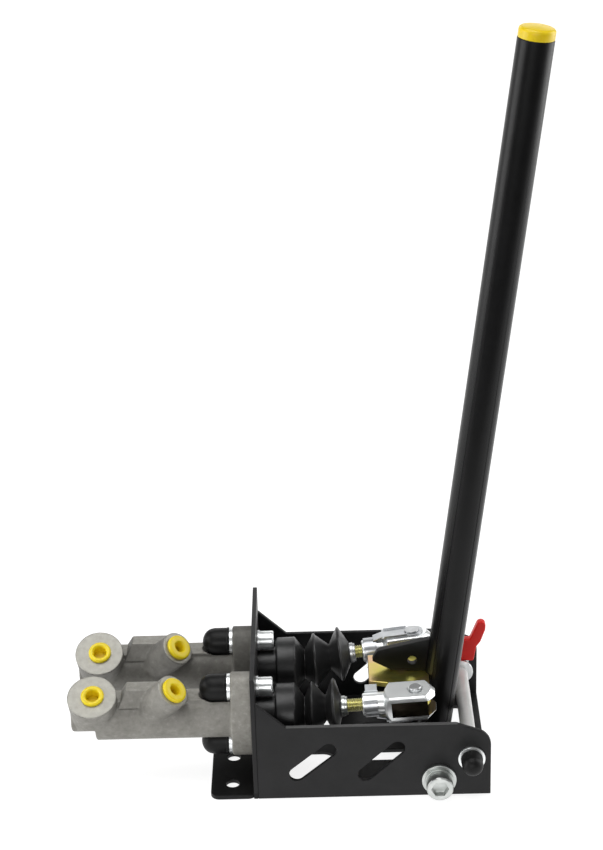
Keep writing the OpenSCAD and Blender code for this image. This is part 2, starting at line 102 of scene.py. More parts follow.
# ---------------------------------------------------------------- camera
C = (51.001, -1248.675, 813.591)
right = Vector((0.99964256, -0.00199185, -0.02666054))
down = Vector((-0.02508884, -0.41439473, -0.90975137))
fwd = Vector((-0.0092359, 0.91009507, -0.41429658))
cam_data = bpy.data.cameras.new("camera")
cam_data.sensor_width = 36.0
cam_data.sensor_fit = "AUTO"
cam_data.lens = 2119.12 * 36.0 / 850.0
cam_data.clip_start, cam_data.clip_end = 0.05, 50.0
cam = bpy.data.objects.new("camera", cam_data)
SC.collection.objects.link(cam)
cam.matrix_world = Matrix((
    (right.x, -down.x, -fwd.x, C[0] * MM),
    (right.y, -down.y, -fwd.y, C[1] * MM),
    (right.z, -down.z, -fwd.z, C[2] * MM),
    (0, 0, 0, 1)))
SC.camera = cam
SC.view_settings.view_transform = "Standard"
SC.view_settings.look = "None"

# ---------------------------------------------------------------- light and floor
world = bpy.data.worlds.new("studio")
SC.world = world
world.use_nodes = True
world.node_tree.nodes["Background"].inputs["Color"].default_value = (1, 1, 1, 1)
world.node_tree.nodes["Background"].inputs["Strength"].default_value = 0.14


def area(name, loc, target, sx, sy, watts, color=(1, 1, 1)):
    d = bpy.data.lights.new(name, "AREA")
    d.shape = "RECTANGLE"
    d.size, d.size_y, d.energy, d.color = sx, sy, watts, color
    o = bpy.data.objects.new(name, d)
    SC.collection.objects.link(o)
    o.location = loc
    o.rotation_mode = "QUATERNION"
    o.rotation_quaternion = (Vector(target) - Vector(loc)).to_track_quat("-Z", "Y")
    return o


area("top_soft", (-0.1, -0.1, 1.9), (0.05, 0, 0.05), 1.5, 1.2, 18)
area("front_fill", (-0.35, -2.2, 0.7), (0.03, 0, 0.05), 1.6, 0.7, 14)
area("left_box", (-1.25, -0.15, 0.5), (0.1, 0, 0.2), 1.0, 1.1, 11)
area("right_box", (1.05, 0.25, 0.5), (0.12, 0, 0.2), 0.8, 1.1, 8)
area("back_soft", (0.0, 2.5, 1.0), (0.05, 0, 0.3), 2.6, 1.3, 12.5)


def node_mat(name):
    m = bpy.data.materials.new(name)
    m.use_nodes = True
    nt = m.node_tree
    return m, nt, nt.nodes["Principled BSDF"]


def link(nt, a, b):
    nt.links.new(a, b)


def obj_coords(nt):
    return nt.nodes.new("ShaderNodeTexCoord").outputs["Object"]


def noise(nt, co, scale, detail=3.0, rough=0.55, stretch=None):
    n = nt.nodes.new("ShaderNodeTexNoise")
    n.inputs["Scale"].default_value = scale
    n.inputs["Detail"].default_value = detail
    n.inputs["Roughness"].default_value = rough
    if stretch:
        mp = nt.nodes.new("ShaderNodeMapping")
        mp.inputs["Scale"].default_value = stretch
        link(nt, co, mp.inputs["Vector"])
        co = mp.outputs["Vector"]
    link(nt, co, n.inputs["Vector"])
    return n.outputs["Fac"]


def ramp(nt, fac, stops):
    r = nt.nodes.new("ShaderNodeValToRGB")
    els = r.color_ramp.elements
    while len(els) < len(stops):
        els.new(0.5)
    for e, (p, c) in zip(els, stops):
        e.position = p
        e.color = (*c, 1) if len(c) == 3 else c
    link(nt, fac, r.inputs["Fac"])
    return r.outputs["Color"]


def spread(nt, fac, lo, hi, a=0.3, b=0.7):
    m = nt.nodes.new("ShaderNodeMapRange")
    m.inputs["From Min"].default_value = a
    m.inputs["From Max"].default_value = b
    m.inputs["To Min"].default_value = lo
    m.inputs["To Max"].default_value = hi
    link(nt, fac, m.inputs["Value"])
    return m.outputs["Result"]


def math2(nt, op, a, b):
    m = nt.nodes.new("ShaderNodeMath")
    m.operation = op
    for sock, v in zip(m.inputs, (a, b)):
        if isinstance(v, (int, float)):
            sock.default_value = v
        else:
            link(nt, v, sock)
    return m.outputs["Value"]


def bump(nt, height, strength, dist, normal=None):
    b = nt.nodes.new("ShaderNodeBump")
    b.inputs["Strength"].default_value = strength
    b.inputs["Distance"].default_value = dist
    link(nt, height, b.inputs["Height"])
    if normal is not None:
        link(nt, normal, b.inputs["Normal"])
    return b.outputs["Normal"]


def dot_above(nt, co, axis, limit, soft):
    """1 where co . axis is above limit, in metres."""
    v = nt.nodes.new("ShaderNodeVectorMath")
    v.operation = "DOT_PRODUCT"
    v.inputs[1].default_value = axis
    link(nt, co, v.inputs[0])
    return spread(nt, v.outputs["Value"], 0.0, 1.0, limit - soft, limit + soft)


def mixc(nt, fac, a, b):
    m = nt.nodes.new("ShaderNodeMix")
    m.data_type = "RGBA"
    link(nt, fac, m.inputs["Factor"])
    for sock, v in ((m.inputs["A"], a), (m.inputs["B"], b)):
        if isinstance(v, tuple):
            sock.default_value = (*v, 1)
        else:
            link(nt, v, sock)
    return m.outputs["Result"]


def powder(name, lo, hi, r_lo, r_hi, spec, peel):
    m, nt, p = node_mat(name)
    co = obj_coords(nt)
    n = noise(nt, co, 60, 4)
    link(nt, ramp(nt, n, [(0.3, lo), (0.7, hi)]), p.inputs["Base Color"])
    link(nt, spread(nt, noise(nt, co, 320, 3), r_lo, r_hi), p.inputs["Roughness"])
    p.inputs["Specular IOR Level"].default_value = spec
    nb = bump(nt, noise(nt, co, 1100, 2), peel, 0.0003)
    nb = bump(nt, noise(nt, co, 3200, 2), peel * 0.7, 0.0001, nb)
    link(nt, nb, p.inputs["Normal"])
    return m


def metal(name, lo, hi, r_lo, r_hi, grain=None, depth=0.06, met=1.0):
    m, nt, p = node_mat(name)
    co = obj_coords(nt)
    p.inputs["Metallic"].default_value = met
    n = noise(nt, co, 140, 4)
    link(nt, ramp(nt, n, [(0.32, lo), (0.68, hi)]), p.inputs["Base Color"])
    g = noise(nt, co, 900 if grain else 180, 3, 0.6, grain)
    link(nt, spread(nt, g, r_lo, r_hi), p.inputs["Roughness"])
    link(nt, bump(nt, noise(nt, co, 160, 2), depth, 0.00004), p.inputs["Normal"])
    return m


def plastic(name, lo, hi, rough, sub=0.0, spec=0.5, depth=0.05, scale=900):
    m, nt, p = node_mat(name)
    co = obj_coords(nt)
    link(nt, ramp(nt, noise(nt, co, 120, 3), [(0.3, lo), (0.7, hi)]), p.inputs["Base Color"])
    link(nt, spread(nt, noise(nt, co, 500, 3), rough - 0.05, rough + 0.06), p.inputs["Roughness"])
    p.inputs["Specular IOR Level"].default_value = spec
    if sub:
        p.inputs["Subsurface Weight"].default_value = sub
        p.inputs["Subsurface Radius"].default_value = (0.003, 0.002, 0.0006)
        p.inputs["Subsurface Scale"].default_value = 1.0
    link(nt, bump(nt, noise(nt, co, scale, 2), depth, 0.0002), p.inputs["Normal"])
    return m


def cast_alloy(name, k):
    m, nt, p = node_mat(name)
    co = obj_coords(nt)
    big = noise(nt, co, 45, 5, 0.6)
    fine = noise(nt, co, 900, 4, 0.65)
    speck = noise(nt, co, 2600, 2, 0.6)
    base = ramp(nt, big, [(q, tuple(c * k for c in col)) for q, col in ((0.28, (0.245, 0.236, 0.213)), (0.5, (0.30, 0.29, 0.262)), (0.72, (0.35, 0.34, 0.31)))])
    base = mixc(nt, spread(nt, fine, 0.0, 0.22), base, (0.43 * k, 0.42 * k, 0.385 * k))
    mott = noise(nt, co, 300, 4, 0.6)
    base = mixc(nt, spread(nt, mott, 0.0, 0.5, 0.52, 0.75), base, (0.185 * k, 0.178 * k, 0.152 * k))
    base = mixc(nt, spread(nt, mott, 0.4, 0.0, 0.27, 0.46), base, (0.50 * k, 0.49 * k, 0.45 * k))
    p.inputs["Metallic"].default_value = 0.45
    link(nt, base, p.inputs["Base Color"])
    link(nt, spread(nt, fine, 0.5, 0.68), p.inputs["Roughness"])
    nb = bump(nt, mott, 0.30, 0.0006)
    nb = bump(nt, fine, 0.32, 0.0003, nb)
    nb = bump(nt, speck, 0.25, 0.0001, nb)
    link(nt, nb, p.inputs["Normal"])
    return m


def machined_alloy():
    m, nt, p = node_mat("machined_alloy")
    co = obj_coords(nt)
    p.inputs["Metallic"].default_value = 0.6
    n = noise(nt, co, 260, 4)
    link(nt, ramp(nt, n, [(0.3, (0.33, 0.322, 0.290)), (0.7, (0.40, 0.391, 0.353))]), p.inputs["Base Color"])
    link(nt, spread(nt, noise(nt, co, 900, 3), 0.42, 0.56), p.inputs["Roughness"])
    link(nt, bump(nt, noise(nt, co, 1800, 3), 0.12, 0.0001), p.inputs["Normal"])
    return m


def gold_zinc(name, stops):
    m, nt, p = node_mat(name)
    co = obj_coords(nt)
    p.inputs["Metallic"].default_value = 1.0
    n = noise(nt, co, 48, 2, 0.45)
    link(nt, ramp(nt, n, stops), p.inputs["Base Color"])
    link(nt, spread(nt, noise(nt, co, 260, 3), 0.29, 0.35), p.inputs["Roughness"])
    link(nt, bump(nt, noise(nt, co, 140, 2), 0.05, 0.00004), p.inputs["Normal"])
    return m


def rubber_mat():
    m, nt, p = node_mat("boot_rubber")
    co = obj_coords(nt)
    link(nt, ramp(nt, noise(nt, co, 70, 5, 0.6), [(0.3, (0.008, 0.008, 0.0083)), (0.75, (0.016, 0.016, 0.0164))]), p.inputs["Base Color"])
    link(nt, spread(nt, noise(nt, co, 300, 4), 0.33, 0.45), p.inputs["Roughness"])
    p.inputs["Specular IOR Level"].default_value = 0.6
    nb = bump(nt, noise(nt, co, 900, 3), 0.1, 0.0002)
    nb = bump(nt, noise(nt, co, 2800, 2), 0.08, 0.0001, nb)
    link(nt, nb, p.inputs["Normal"])
    return m


BLACK = powder("black_powder_coat", (0.010, 0.010, 0.0104), (0.0145, 0.0145, 0.015), 0.38, 0.48, 0.24, 0.08)
TUBE = powder("tube_black", (0.004, 0.004, 0.0042), (0.006, 0.006, 0.0063), 0.29, 0.34, 0.21, 0.03)
CAST = cast_alloy("cast_alloy", 0.79)
# darker copy of the cast alloy for the whole far casting: painted shade where the near casting keeps the front light
# off it
CAST_FAR_PAINTED_SHADE = cast_alloy("cast_alloy_far_painted_shade", 0.52)
# lighter copy of the cast alloy: painted light on up-facing faces and on the near flange
CAST_PAINTED_LIGHT = cast_alloy("cast_alloy_painted_light", 1.02)
# darkest copy of the cast alloy: painted shadow of the near cylinder on the far flange
CAST_PAINTED_SHADOW = cast_alloy("cast_alloy_painted_shadow", 0.40)
MACH = machined_alloy()
ZINC = metal("bright_zinc", (0.90, 0.925, 0.925), (0.96, 0.98, 0.98), 0.29, 0.35, met=0.9)
STEEL = metal("plain_steel", (0.46, 0.47, 0.475), (0.56, 0.57, 0.575), 0.29, 0.36, met=0.92)
BOLT = metal("plated_bolt", (0.52, 0.54, 0.525), (0.64, 0.66, 0.64), 0.29, 0.34, met=1.0)
SPRING = metal("spring_steel", (0.47, 0.485, 0.50), (0.57, 0.585, 0.60), 0.29, 0.36, met=0.85)
GOLD = gold_zinc("yellow_zinc", [(0.30, (0.60, 0.59, 0.15)), (0.45, (0.80, 0.70, 0.16)), (0.58, (0.86, 0.66, 0.26)), (0.72, (0.86, 0.56, 0.38))])
GOLD_ROD = gold_zinc("yellow_zinc_rod", [(0.3, (0.62, 0.62, 0.34)), (0.5, (0.72, 0.69, 0.34)), (0.7, (0.80, 0.74, 0.44))])
SPACER = metal("spacer_alloy", (0.56, 0.56, 0.55), (0.64, 0.64, 0.63), 0.4, 0.52, (1, 0.05, 1), met=0.4)
TURNED = metal("turned_alloy", (0.6, 0.6, 0.6), (0.72, 0.72, 0.72), 0.29, 0.38, (0.05, 1, 1))
RUBBER = rubber_mat()
CAPBLK = plastic("black_cap", (0.005, 0.005, 0.005), (0.009, 0.009, 0.009), 0.42, 0.0, 0.19, 0.04, 500)
YELLOW = plastic("yellow_plug", (0.81, 0.625, 0.007), (0.87, 0.685, 0.013), 0.36, 0.12, 0.45)
YELLOW_CAP = plastic("yellow_cap", (0.78, 0.565, 0.004), (0.84, 0.615, 0.008), 0.34, 0.1, 0.4)
RED = plastic("red_vinyl", (0.58, 0.008, 0.005), (0.66, 0.012, 0.008), 0.36, 0.0, 0.28, 0.06, 400)
BRONZE = metal("bronze", (0.42, 0.27, 0.12), (0.55, 0.37, 0.18), 0.3, 0.45)

SLOT_MAT = {"black_powder_coat": BLACK, "cast_alloy": CAST, "turned_alloy": TURNED, "spacer_alloy": SPACER,
            "bright_zinc_steel": ZINC, "spring_steel": SPRING, "yellow_zinc_steel": GOLD, "black_rubber": RUBBER,
            "black_plastic": CAPBLK, "yellow_plastic": YELLOW, "red_vinyl": RED, "bronze": BRONZE}


def fork_zinc_painted_slot_shade(name, s):
    """Bright zinc with painted shade and painted dark reflection, a flat dark brown, on the two faces inside the fork.
    """
    m = metal(name, (0.96, 0.985, 0.98), (0.985, 1.0, 0.995), 0.29, 0.35, met=0.8)
    nt = m.node_tree
    p = nt.nodes["Principled BSDF"]
    was = p.inputs["Base Color"].links[0].from_socket
    f = rod_frame(s, 5.0)
    axis = f.to_3x3() @ Vector((0, 0, 1))
    axis.normalize()
    mid = axis.dot(f @ Vector((rod_angles(s)[2], 0, 0)))
    v = nt.nodes.new("ShaderNodeVectorMath")
    v.operation = "DOT_PRODUCT"
    v.inputs[1].default_value = axis
    link(nt, obj_coords(nt), v.inputs[0])
    away = math2(nt, "ABSOLUTE", math2(nt, "SUBTRACT", v.outputs["Value"], mid), 0.0)
    inside = spread(nt, away, 1.0, 0.0, 0.00568, 0.0058)
    f2 = rod_frame(s, 5.0)
    ex = f2.to_3x3() @ Vector((1, 0, 0))
    ex.normalize()
    along = dot_above(nt, obj_coords(nt), ex, ex.dot(f2 @ Vector((rod_angles(s)[2] - 16.3, 0, 0))), 0.0002)
    # painted shade and dark reflection: inside the slot, towards the fork end, the colour is mixed to dark brown
    link(nt, mixc(nt, math2(nt, "MULTIPLY", inside, along), was, (0.20, 0.16, 0.115)), p.inputs["Base Color"])
    return m


def sheet_black_painted_colour(name, axis, limit, painted_tone):
    """Black powder coat painted over with a flat colour on the part of it where co . axis is above limit for each
    pair; the callers use it for a painted highlight and a painted shade.
    """
    m = powder(name, (0.010, 0.010, 0.0104), (0.0145, 0.0145, 0.015), 0.38, 0.48, 0.24, 0.08)
    nt = m.node_tree
    p = nt.nodes["Principled BSDF"]
    was = p.inputs["Base Color"].links[0].from_socket
    fac = dot_above(nt, obj_coords(nt), axis[0], limit[0], 0.0001)
    for ax, lm in zip(axis[1:], limit[1:]):
        fac = math2(nt, "MULTIPLY", fac, dot_above(nt, obj_coords(nt), ax, lm, 0.0001))
    link(nt, mixc(nt, fac, was, painted_tone), p.inputs["Base Color"])
    return m


# painted highlight: the upper edge face of the near wall (above 54.9 mm, y below 0, x above 22.8 mm) is lightened to
# grey
TRAY_PAINTED_EDGE_HIGHLIGHT = sheet_black_painted_colour("tray_black_painted_edge_highlight", [(0, 0, 1), (0, -1, 0), (1, 0, 0)], [0.0549, 0.0, 0.0228], (0.075, 0.075, 0.075))
# painted shade: the front plate's foot flange below 4.5 mm is darkened almost to black
PLATE_PAINTED_FOOT_SHADE = sheet_black_painted_colour("plate_black_painted_foot_shade", [(0, 0, -1)], [-0.0045], (0.0035, 0.0035, 0.0036))
FORK_PAINTED_SLOT_SHADE = {"near_clevis": fork_zinc_painted_slot_shade("near_fork_zinc_painted_shade", -1), "far_clevis": fork_zinc_painted_slot_shade("far_fork_zinc_painted_shade", 1)}
NODE_SLOT = {s["node"]: s["material_slot"] for s in frame["record"]["subparts"]}
BEVEL = {"base_tray": 0.5, "front_plate": 0.5, "lever_arm": 0.5, "yoke_plate": 0.4, "lever_tube": 0.5, "lever_top_cap": 0.3,
         "near_clevis": 0.45, "far_clevis": 0.45, "near_clevis_clip": 0.16, "far_clevis_clip": 0.16, "lock_grip": 0.9,
         "flange_bolts": 0.3, "pivot_bolt": 0.5, "near_clevis_pin": 0.25, "far_clevis_pin": 0.25,
         "pivot_washers": 0.25, "flange_washers": 0.2, "rear_washers": 0.2}

for name, o in NODES.items():
    m = {"base_tray": TRAY_PAINTED_EDGE_HIGHLIGHT, "front_plate": PLATE_PAINTED_FOOT_SHADE, "lever_tube": TUBE, "lever_arm": TUBE, "pivot_bolt": BOLT, "pivot_washers": BOLT, "pivot_spring_washer": BOLT, "near_clevis_pin": STEEL, "far_clevis_pin": STEEL, **FORK_PAINTED_SLOT_SHADE}.get(name, SLOT_MAT[NODE_SLOT[name]])
    o.data.materials.clear()
    o.data.materials.append(m)
    if "return_spring" in name:
        continue
    w = o.modifiers.new("weld", "WELD")
    w.merge_threshold = 1e-6
    d = o.modifiers.new("flat", "DECIMATE")
    d.decimate_type = "DISSOLVE"
    d.angle_limit = math.radians(0.6)
    b = o.modifiers.new("bevel", "BEVEL")
    b.width = BEVEL.get(name, 0.2) * MM
    b.segments = 2
    b.limit_method = "ANGLE"
    b.angle_limit = math.radians(32)
    b.use_clamp_overlap = False
    b.harden_normals = False
    wn = o.modifiers.new("normals", "WEIGHTED_NORMAL")
    wn.weight = 80
    wn.keep_sharp = False

# ---------------------------------------------------------------- pieces modelled here in finer detail
def add_piece(name, verts, faces, frame_m, mats, body, node=None, face_mat=None, smooth=True):
    v = np.asarray(verts, float).reshape(-1, 3)
    m = np.array(frame_m)
    v = v @ m[:3, :3].T + m[:3, 3]
    me = bpy.data.meshes.new(name)
    me.from_pydata([tuple(p) for p in v], [], [tuple(int(i) for i in f) for f in faces])
    me.validate()
    for mt in mats:
        me.materials.append(mt)
    if smooth:
        me.polygons.foreach_set("use_smooth", [True] * len(me.polygons))
    if face_mat is not None:
        me.polygons.foreach_set("material_index", [int(i) for i in face_mat])
    me.update()
    o = bpy.data.objects.new(name, me)
    SC.collection.objects.link(o)
    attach(o, body)
    if node:
        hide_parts(node)
    return o


def sharpen(o, deg=40):
    """Splits the shading at edges sharper than deg."""
    bm = bmesh.new()
    bm.from_mesh(o.data)
    lim = math.radians(deg)
    for e in bm.edges:
        if len(e.link_faces) == 2 and e.calc_face_angle(0.0) > lim:
            e.smooth = False
    bm.to_mesh(o.data)
    bm.free()
    return o


def join(parts):
    vs, fs, k = [], [], 0
    for v, f in parts:
        vs.append(np.asarray(v, float).reshape(-1, 3))
        fs += [[i + k for i in q] for q in f]
        k += len(vs[-1])
    return np.vstack(vs), fs


def moved(part, m):
    v, f = part
    a = np.array(m)
    return np.asarray(v) @ a[:3, :3].T + a[:3, 3], f


def ring_solid(profile, n=64):
    """Closed solid turned about X from a closed loop of (radius, x). Points on the axis make poles."""
    p = [(max(r, 0.0), x) for r, x in profile]
    th = np.arange(n) * 2 * math.pi / n
    vs, idx = [], []
    for r, x in p:
        if r < 1e-6:
            idx.append([len(vs)] * n)
            vs.append((x, 0.0, 0.0))
        else:
            idx.append(list(range(len(vs), len(vs) + n)))
            vs += [(x, r * math.cos(a), r * math.sin(a)) for a in th]
    fs = []
    for i in range(len(p)):
        a, b = idx[i], idx[(i + 1) % len(p)]
        for j in range(n):
            k = (j + 1) % n
            q = []
            for w in (a[j], a[k], b[k], b[j]):
                if w not in q:
                    q.append(w)
            if len(q) > 2:
                fs.append(q)
    v = np.array(vs)
    return v, outward(v, fs)


def outward(v, fs):
    """Turns every face over if the solid is inside out."""
    vol = 0.0
    for q in fs:
        a = v[q[0]]
        for i in range(1, len(q) - 1):
            vol += float(np.dot(a, np.cross(v[q[i]], v[q[i + 1]])))
    return fs if vol > 0 else [q[::-1] for q in fs]


def soft(profile, cuts, seg=3):
    """Rounds listed corners of a closed (radius, x) loop: cuts maps index to radius."""
    out, n = [], len(profile)
    for i, p in enumerate(profile):
        c = cuts.get(i, 0)
        if not c:
            out.append(p)
            continue
        p = np.array(p, float)
        a, b = np.array(profile[i - 1], float) - p, np.array(profile[(i + 1) % n], float) - p
        la, lb = np.linalg.norm(a), np.linalg.norm(b)
        c = min(c, la * 0.45, lb * 0.45)
        s, e = p + a / la * c, p + b / lb * c
        for k in range(seg + 1):
            u = k / seg
            out.append(tuple((1 - u) ** 2 * s + 2 * u * (1 - u) * p + u * u * e))
    return out


def threaded(xs, rad, n=48):
    """Rod along X whose radius is rad(x, angle)."""
    th = np.arange(n) * 2 * math.pi / n
    vs = [(x, rad(x, a) * math.cos(a), rad(x, a) * math.sin(a)) for x in xs for a in th]
    fs = []
    for i in range(len(xs) - 1):
        for j in range(n):
            k = (j + 1) % n
            fs.append([i * n + j, i * n + k, (i + 1) * n + k, (i + 1) * n + j])
    m = len(vs)
    vs += [(xs[0], 0, 0), (xs[-1], 0, 0)]
    for j in range(n):
        k = (j + 1) % n
        fs.append([m, k, j])
        fs.append([m + 1, (len(xs) - 1) * n + j, (len(xs) - 1) * n + k])
    v = np.array(vs)
    return v, outward(v, fs)


# ---- castings: one smooth solid with cast radii
FT, HP = 14.0, 20.65
S2, C2 = math.sin(math.radians(TILT2)), math.cos(math.radians(TILT2))


def capped(rad, w, r, w0, w1, e=0.5):
    q0 = rad - (r - e)
    q1 = np.abs(w - (w0 + w1) / 2) - ((w1 - w0) / 2 - e)
    return np.minimum(np.maximum(q0, q1), 0) + np.hypot(np.maximum(q0, 0), np.maximum(q1, 0)) - e


def smin(a, b, k):
    h = np.maximum(k - np.abs(a - b), 0) / k
    return np.minimum(a, b) - h * h * k * 0.25


def smax(a, b, k):
    return -smin(-a, -b, k)


def cast_field(P, st, ct):
    x, y, z = P[..., 0], P[..., 1], P[..., 2]
    rad = np.hypot(y, z)
    w, v = -y * st + z * ct, y * ct + z * st
    # flange: a round middle and two round ends with straight sides
    h, r1, r2 = HP, 17.0, 10.3
    bq = (r1 - r2) / h
    aq = math.sqrt(1 - bq * bq)
    px, pz = np.abs(y), np.abs(z)
    kk = -bq * px + aq * pz
    fl = np.where(kk < 0, np.hypot(px, pz) - r1, np.where(kk > aq * h, np.hypot(px, pz - h) - r2, px * aq + pz * bq - r1))
    d = smax(fl, np.abs(x + FT / 2) - FT / 2, 1.2)
    # barrel, nose and pad
    barrel = capped(rad, x, 15.5, -105, -FT + 2, 1.2)
    pad = smax(smax(np.abs(y) - 7.8, np.abs(z - 10) - 5.9, 1.2), np.abs(x + 56) - 44.5, 1.0)
    nose = capped(rad, x, 9.5, -121.6, -95, 1.6)
    body = smin(smin(barrel, pad, 0.8), nose, 0.9)
    # front boss, a little wider at its face
    taper = 14.8 + (w + 12) / 36.7 * 1.7
    b1 = smax((np.hypot(x - BOSS1, v) - taper) * 0.9989, np.abs(w - 6.35) - 18.35, 0.6)
    b1 = smax(b1, np.maximum(np.abs(y) * 0.52 - z * 0.854 - 9.3, -z - 9.2), 0.6)
    # angled boss
    x2 = (x - BOSS2) * C2 - w * S2
    z2 = (x - BOSS2) * S2 + w * C2
    rad2 = np.hypot(x2, v)
    b2 = capped(rad2, z2, 11.6, 4, 36.8, 0.45)
    # web with sloping sides
    web = smax((np.abs(y) - 10.9) * 0.904 + (z - 12.4) * 0.427, z - 23.4, 0.9)
    web = smax(web, ((x + 91.7) * -16 + (z - 8) * 8.1) / 17.93, 1.0)
    web = smax(web, ((x + 58) * 16 + (z - 24) * 6) / 17.09, 1.0)
    web = smax(web, 12.4 - z, 0.4)
    body = smin(body, web, 0.5)
    body = smin(body, b1, 0.9)
    body = smin(body, b2, 0.7)
    d = smin(d, body, 2.0)
    d = np.minimum(d, capped(rad, x, 12.5, -2, 12, 0.4))
    # room round the nuts, bolt holes, bore, ports
    for t in (-1, 1):
        rb = np.hypot(y, z - t * HP)
        d = smax(d, -np.maximum(rb - 10.0, np.abs(x + FT + 6.7) - 6.7), 0.4)
        d = smax(d, -(np.hypot(x + FT + 13.2, rb) - 9.7), 0.4)
        d = np.maximum(d, -np.maximum(rb - 4.25, np.abs(x + 6) - 9))
    d = np.maximum(d, -np.maximum(rad - 9.525, np.abs(x + 42.5) - 55.5))
    d = np.maximum(d, -np.maximum(rad - 10.65, np.abs(x + 2.3) - 0.85))
    d = smax(d, -np.maximum(np.hypot(x - BOSS1 - 0.6, v) - 5.2, np.abs(w - 20) - 10), 0.3)
    d = smax(d, -np.maximum(rad2 - 4.6, np.abs(z2 - 31) - 10), 0.3)
    return d


def surface_nets(field, lo, hi, step):
    n = [int(math.ceil((b - a) / step)) + 1 for a, b in zip(lo, hi)]
    ax = [lo[i] + step * np.arange(n[i]) for i in range(3)]
    G = np.stack(np.meshgrid(*ax, indexing="ij"), -1)
    F = field(G)
    S = F < 0
    nx, ny, nz = n
    mixed = np.zeros((nx - 1, ny - 1, nz - 1), bool)
    cnt = np.zeros((nx - 1, ny - 1, nz - 1))
    acc = np.zeros((nx - 1, ny - 1, nz - 1, 3))
    corner = [(i, j, k) for i in (0, 1) for j in (0, 1) for k in (0, 1)]

    def cut(A, c):
        return A[c[0]:nx - 1 + c[0], c[1]:ny - 1 + c[1], c[2]:nz - 1 + c[2]]
    for a in corner:
        for d in range(3):
            if a[d]:
                continue
            b = tuple(1 if q == d else a[q] for q in range(3))
            fa, fb = cut(F, a), cut(F, b)
            hit = (fa < 0) != (fb < 0)
            t = np.where(hit, fa / np.where(fa - fb == 0, 1, fa - fb), 0)
            cnt += hit
            mixed |= hit
            pa = [ax[q][:n[q] - 1] + a[q] * step for q in range(3)]
            for q in range(3):
                sh = [1, 1, 1]
                sh[q] = -1
                val = pa[q].reshape(sh) + (t * step if q == d else 0)
                acc[..., q] += np.where(hit, val, 0)
    idx = -np.ones(mixed.shape, int)
    idx[mixed] = np.arange(mixed.sum())
    V = acc[mixed] / cnt[mixed][:, None]
    faces = []
    for d in range(3):
        e, f = [(1, 2), (2, 0), (0, 1)][d]
        sl0 = [slice(None)] * 3
        sl1 = [slice(None)] * 3
        sl0[d], sl1[d] = slice(0, n[d] - 1), slice(1, n[d])
        s0, s1 = S[tuple(sl0)], S[tuple(sl1)]
        ch = s0 != s1
        I = np.argwhere(ch)
        keep = (I[:, e] > 0) & (I[:, f] > 0) & (I[:, e] < n[e] - 1) & (I[:, f] < n[f] - 1)
        I = I[keep]
        flip = ~s0[tuple(I.T)]

        def at(de, df):
            J = I.copy()
            J[:, e] += de
            J[:, f] += df
            return idx[tuple(J.T)]
        q = np.stack([at(-1, -1), at(0, -1), at(0, 0), at(-1, 0)], 1)
        q[flip] = q[flip][:, ::-1]
        faces.append(q)
    Q = np.vstack(faces)
    for _ in range(4):
        f0 = field(V)
        g = np.stack([(field(V + np.eye(3)[i] * 0.02) - field(V - np.eye(3)[i] * 0.02)) / 0.04 for i in range(3)], 1)
        g2 = np.maximum((g * g).sum(1), 0.2)
        stp = np.clip(f0 / g2, -0.3 * step, 0.3 * step)
        V = V - g * stp[:, None]
    return V, Q


for s, nm in ((-1, "near"), (1, "far")):
    st, ct = math.sin(math.radians(BOSS_TURN[s])), math.cos(math.radians(BOSS_TURN[s]))
    cv, cq = surface_nets(lambda P: cast_field(P, st, ct), (-124.2, -29.3, -32.3), (13.7, 19.2, 39.2), 0.55)
    cc = cv[cq].mean(1)
    cw = -cc[:, 1] * st + cc[:, 2] * ct
    cz2 = (cc[:, 0] - BOSS2) * S2 + cw * C2
    cr2 = np.hypot((cc[:, 0] - BOSS2) * C2 - cw * S2, cc[:, 1] * ct + cc[:, 2] * st)
    mach = ((cw > 24.45) & (cc[:, 0] < -85)) | ((cz2 > 36.55) & (cr2 < 12.5)) | (cc[:, 0] > -0.2)
    up = np.cross(cv[cq[:, 2]] - cv[cq[:, 0]], cv[cq[:, 3]] - cv[cq[:, 1]])
    # faces that face up, above the axis, get the lighter copy: painted light from above
    lit_top_faces = (up[:, 2] > 0.86 * np.linalg.norm(up, axis=1)) & (cc[:, 2] > 8) & ~mach
    flange = (cc[:, 0] > -FT - 0.3) & ~mach
    # the far casting takes the darker copy as painted shade, the near flange the lighter copy as painted light, the
    # far flange the darkest copy as painted shadow
    add_piece(nm + "_casting", cv, cq, cyl_frame(s), [CAST if s < 0 else CAST_FAR_PAINTED_SHADE, MACH, CAST_PAINTED_LIGHT, CAST_PAINTED_SHADOW], "bracket", nm + "_cylinder", np.where(flange, 2 if s < 0 else 3, np.where(lit_top_faces, 2, mach.astype(int))))

# ---- caps over the nuts
dome = [(9.1 * math.cos(a), -FT - 13 - 8.0 * math.sin(a)) for a in np.radians(np.arange(6, 90, 7))]
cap_loop = [(0, -FT - 16.3), (4.2, -FT - 16.3), (4.2, -FT - 9.4), (7.7, -FT - 9.4), (7.7, -FT - 2.55), (9.6, -FT - 2.55), (9.6, -FT - 3.8), (9.35, -FT - 4.1),
            (9.3, -FT - 12.4)] + dome + [(0, -FT - 21.05)]
cap_part = ring_solid(cap_loop, 56)
caps = [moved(cap_part, Matrix.Translation((0, s * CY, CZ + t * HP))) for s in (-1, 1) for t in (-1, 1)]
v, f = join(caps)
sharpen(add_piece("nut_dome_caps", v, f, Matrix.Scale(MM, 4), [CAPBLK], "bracket", "nut_caps"), 35)
rc = [(0, 8.9), (3.2, 8.9), (3.2, 5.4), (5.9, 5.4), (5.9, 0.05), (7.3, 0.05), (7.3, 1.4), (7.1, 1.7), (7.05, 7.4)] + \
     [(6.95 * math.cos(a), 7.9 + 5.9 * math.sin(a)) for a in np.radians(np.arange(6, 90, 7))] + [(0, 13.85)]
v, f = ring_solid(rc, 48)
